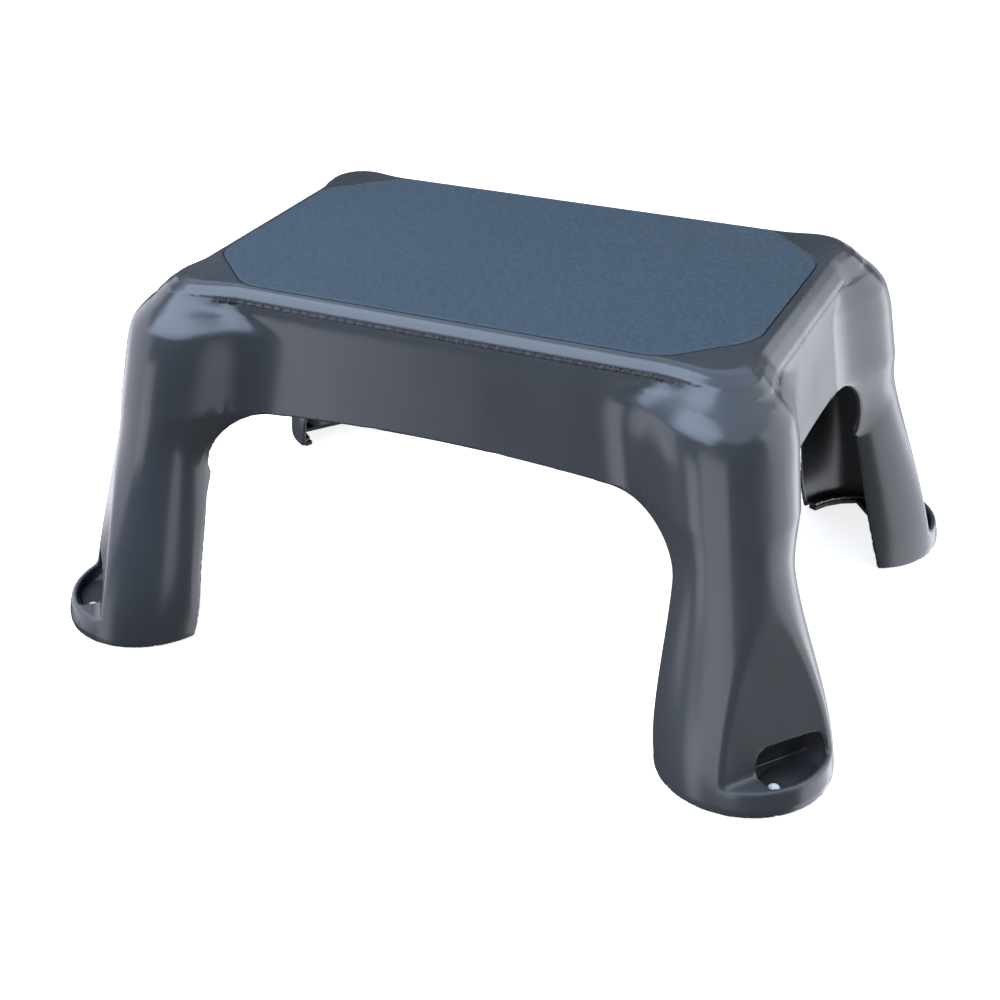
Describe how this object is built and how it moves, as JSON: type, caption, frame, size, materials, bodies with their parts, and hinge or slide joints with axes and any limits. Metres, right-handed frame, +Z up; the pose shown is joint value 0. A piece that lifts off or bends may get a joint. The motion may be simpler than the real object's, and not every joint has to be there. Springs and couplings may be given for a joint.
{
  "type": "step stool",
  "caption": "One-step moulded plastic stool: textured clipped-corner tread, arched aprons and splayed hollow legs that flare into round feet with toe pockets.",
  "frame": {"origin": "on the floor, under the middle of the deck", "axes": "+X along the stool's long side, +Y from front to rear, +Z up"},
  "size_m": [0.528, 0.399, 0.235],
  "materials": {
    "body_plastic": "slate blue-grey, semi-gloss moulded polypropylene",
    "mat_rubber": "dark slate, matt, fine raised grain",
    "foot_rubber": "black, matt",
    "pin_nylon": "natural light grey"
  },
  "bodies": {
    "root": {"stool_body": "body_plastic", "tread_mat": "mat_rubber", "foot_pad_front_left": "foot_rubber", "foot_pad_front_right": "foot_rubber", "foot_pad_rear_left": "foot_rubber", "foot_pad_rear_right": "foot_rubber", "foot_pin_front_left": "pin_nylon", "foot_pin_front_right": "pin_nylon", "foot_pin_rear_left": "pin_nylon", "foot_pin_rear_right": "pin_nylon"}
  },
  "joints": []
}
